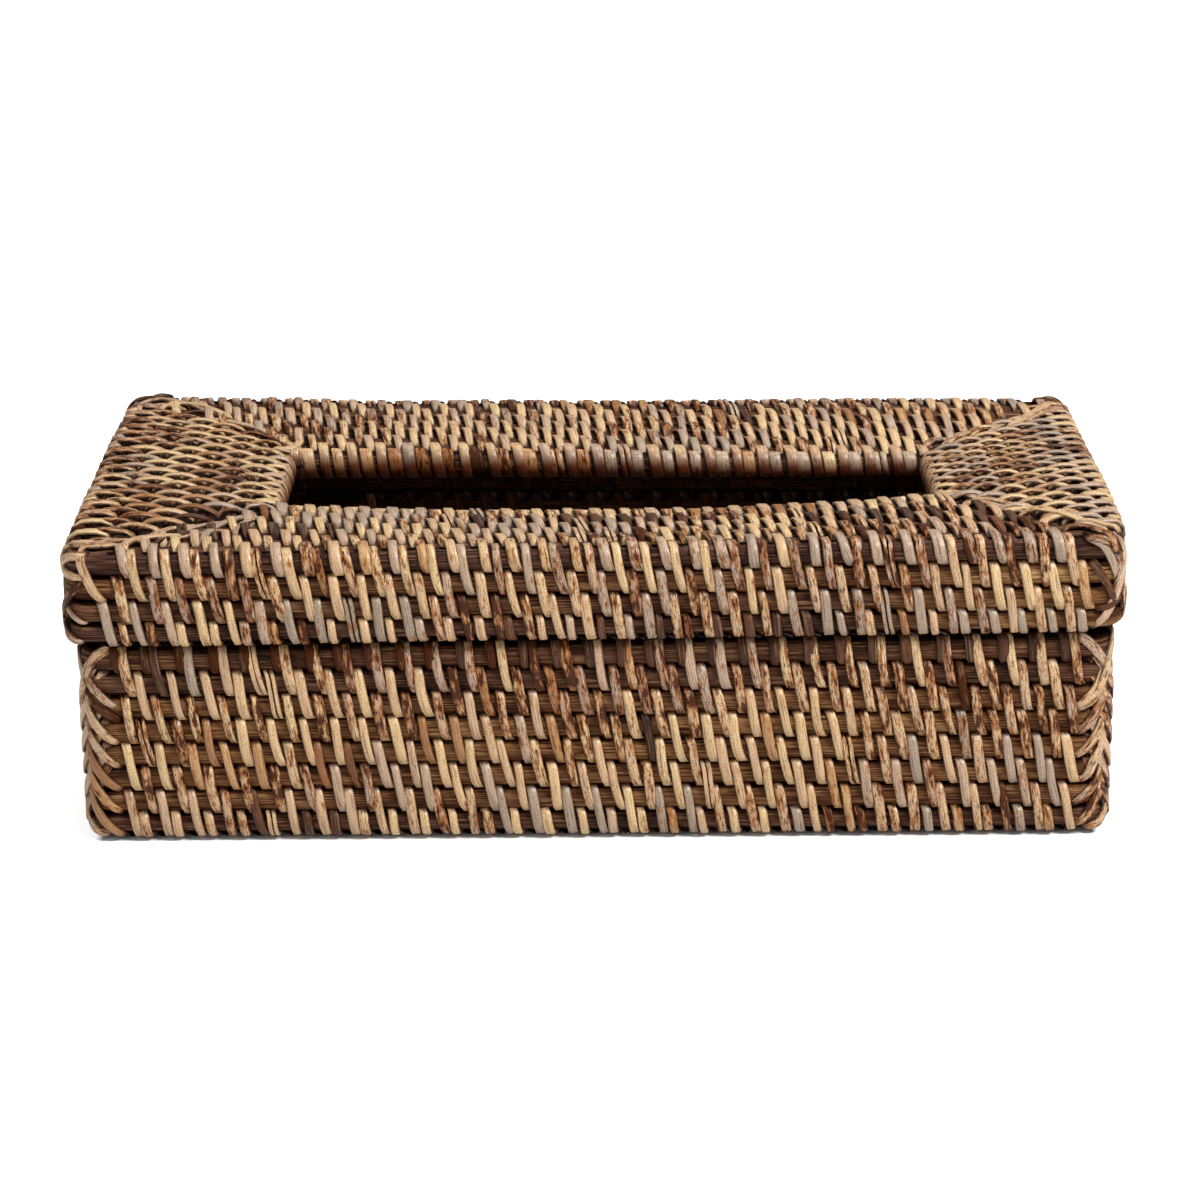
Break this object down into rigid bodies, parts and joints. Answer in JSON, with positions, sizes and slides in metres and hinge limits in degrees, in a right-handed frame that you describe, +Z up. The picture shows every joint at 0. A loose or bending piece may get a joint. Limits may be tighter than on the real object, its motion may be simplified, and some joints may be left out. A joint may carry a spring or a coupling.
{
  "type": "tissue box cover",
  "caption": "Rectangular tissue box cover of lashed split cane: a base box with an inner collar and a lift-off lid with a long slot in its dished, mitred top.",
  "frame": {"origin": "centre of the footprint, on the plane that the box rests on", "axes": "+Z up, +X along the box's length, the long front side faces -Y"},
  "size_m": [0.2698, 0.1438, 0.0798],
  "materials": {
    "split_cane": "dark-stained split rattan cane, satin, with fine grain along the cane",
    "peeled_lacing": "smoked and scraped rattan peel, tan with brown flecks, slight sheen"
  },
  "bodies": {
    "base": {"base_corner_binding_back_left": "peeled_lacing", "base_corner_binding_back_right": "peeled_lacing", "base_corner_binding_front_left": "peeled_lacing", "base_corner_binding_front_right": "peeled_lacing", "bottom_panel": "split_cane", "collar_cane_1": "split_cane", "collar_cane_2": "split_cane", "wall_cane_1": "split_cane", "wall_cane_2": "split_cane", "wall_cane_3": "split_cane", "wall_cane_4": "split_cane", "wall_cane_5": "split_cane", "wall_cane_6": "split_cane", "wall_cane_7": "split_cane", "wall_cane_8": "split_cane"},
    "lid": {"lid_corner_binding_back_left": "peeled_lacing", "lid_corner_binding_back_right": "peeled_lacing", "lid_corner_binding_front_left": "peeled_lacing", "lid_corner_binding_front_right": "peeled_lacing", "mitre_binding_back_left": "peeled_lacing", "mitre_binding_back_right": "peeled_lacing", "mitre_binding_front_left": "peeled_lacing", "mitre_binding_front_right": "peeled_lacing", "skirt_cane_1": "split_cane", "skirt_cane_2": "split_cane", "skirt_cane_3": "split_cane", "skirt_cane_4": "split_cane", "slot_rim_cane": "split_cane", "top_cane_back_1": "split_cane", "top_cane_back_2": "split_cane", "top_cane_back_3": "split_cane", "top_cane_back_4": "split_cane", "top_cane_back_5": "split_cane", "top_cane_back_6": "split_cane", "top_cane_back_7": "split_cane", "top_cane_front_1": "split_cane", "top_cane_front_2": "split_cane", "top_cane_front_3": "split_cane", "top_cane_front_4": "split_cane", "top_cane_front_5": "split_cane", "top_cane_front_6": "split_cane", "top_cane_front_7": "split_cane", "top_cane_left_1": "split_cane", "top_cane_left_2": "split_cane", "top_cane_left_3": "split_cane", "top_cane_left_4": "split_cane", "top_cane_left_5": "split_cane", "top_cane_left_6": "split_cane", "top_cane_left_7": "split_cane", "top_cane_right_1": "split_cane", "top_cane_right_2": "split_cane", "top_cane_right_3": "split_cane", "top_cane_right_4": "split_cane", "top_cane_right_5": "split_cane", "top_cane_right_6": "split_cane", "top_cane_right_7": "split_cane"}
  },
  "joints": [
    {"name": "lid_lift", "type": "slide", "parent": "base", "child": "lid", "axis": [0, 0, 1], "range_m": [0, 0.1]}
  ]
}
